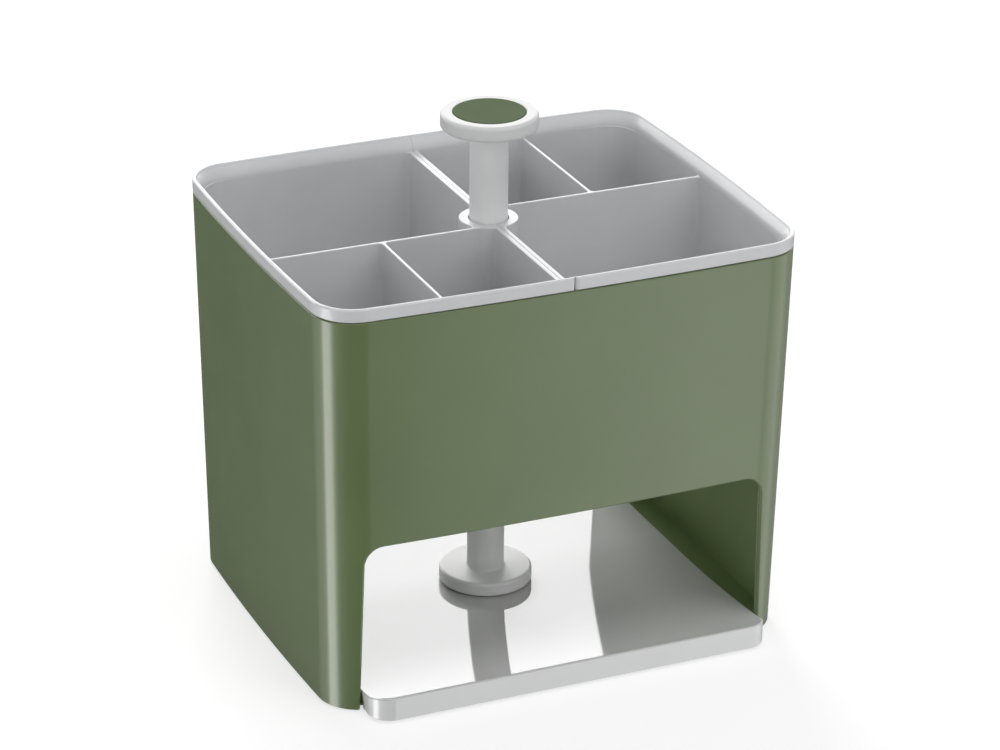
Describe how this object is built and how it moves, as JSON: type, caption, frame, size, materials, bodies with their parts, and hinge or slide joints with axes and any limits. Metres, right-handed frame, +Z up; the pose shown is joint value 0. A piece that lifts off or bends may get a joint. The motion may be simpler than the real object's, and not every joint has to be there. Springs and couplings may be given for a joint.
{
  "type": "utensil caddy with drawer",
  "caption": "Table-top caddy: a casing holds lift-out half trays with compartments above a napkin bay, with a sliding drawer and a weighted napkin presser on a post.",
  "frame": {"origin": "on the table, at the middle of the whole caddy's footprint with the drawer closed", "axes": "+Z up, -Y to the front where the drawer pulls out, +X to the right seen from the front"},
  "size_m": [0.2192, 0.1886, 0.2256],
  "materials": {
    "sage_plastic": "gloss",
    "foot_rubber": "matt",
    "tray_plastic": "gloss",
    "white_plastic": "gloss",
    "plain_steel": "plain",
    "drawer_plastic": "gloss"
  },
  "bodies": {
    "casing": {"outer_casing": "sage_plastic", "non_slip_feet": "foot_rubber"},
    "trays": {"left_tray": "tray_plastic", "right_tray": "tray_plastic"},
    "presser": {"post_tube": "white_plastic", "weight_rod": "plain_steel", "knob": "white_plastic", "knob_screw": "plain_steel", "knob_inlay": "sage_plastic", "presser_disc": "white_plastic", "disc_screw": "plain_steel"},
    "drawer": {"drawer": "drawer_plastic"}
  },
  "joints": [
    {"name": "trays_lift", "type": "slide", "parent": "casing", "child": "trays", "axis": [0, 0, 1], "range_m": [0, 0.12]},
    {"name": "presser_slide", "type": "slide", "parent": "trays", "child": "presser", "axis": [0, 0, 1], "range_m": [0, 0.07]},
    {"name": "drawer_slide", "type": "slide", "parent": "casing", "child": "drawer", "axis": [0, -1, 0], "range_m": [0, 0.13]}
  ]
}
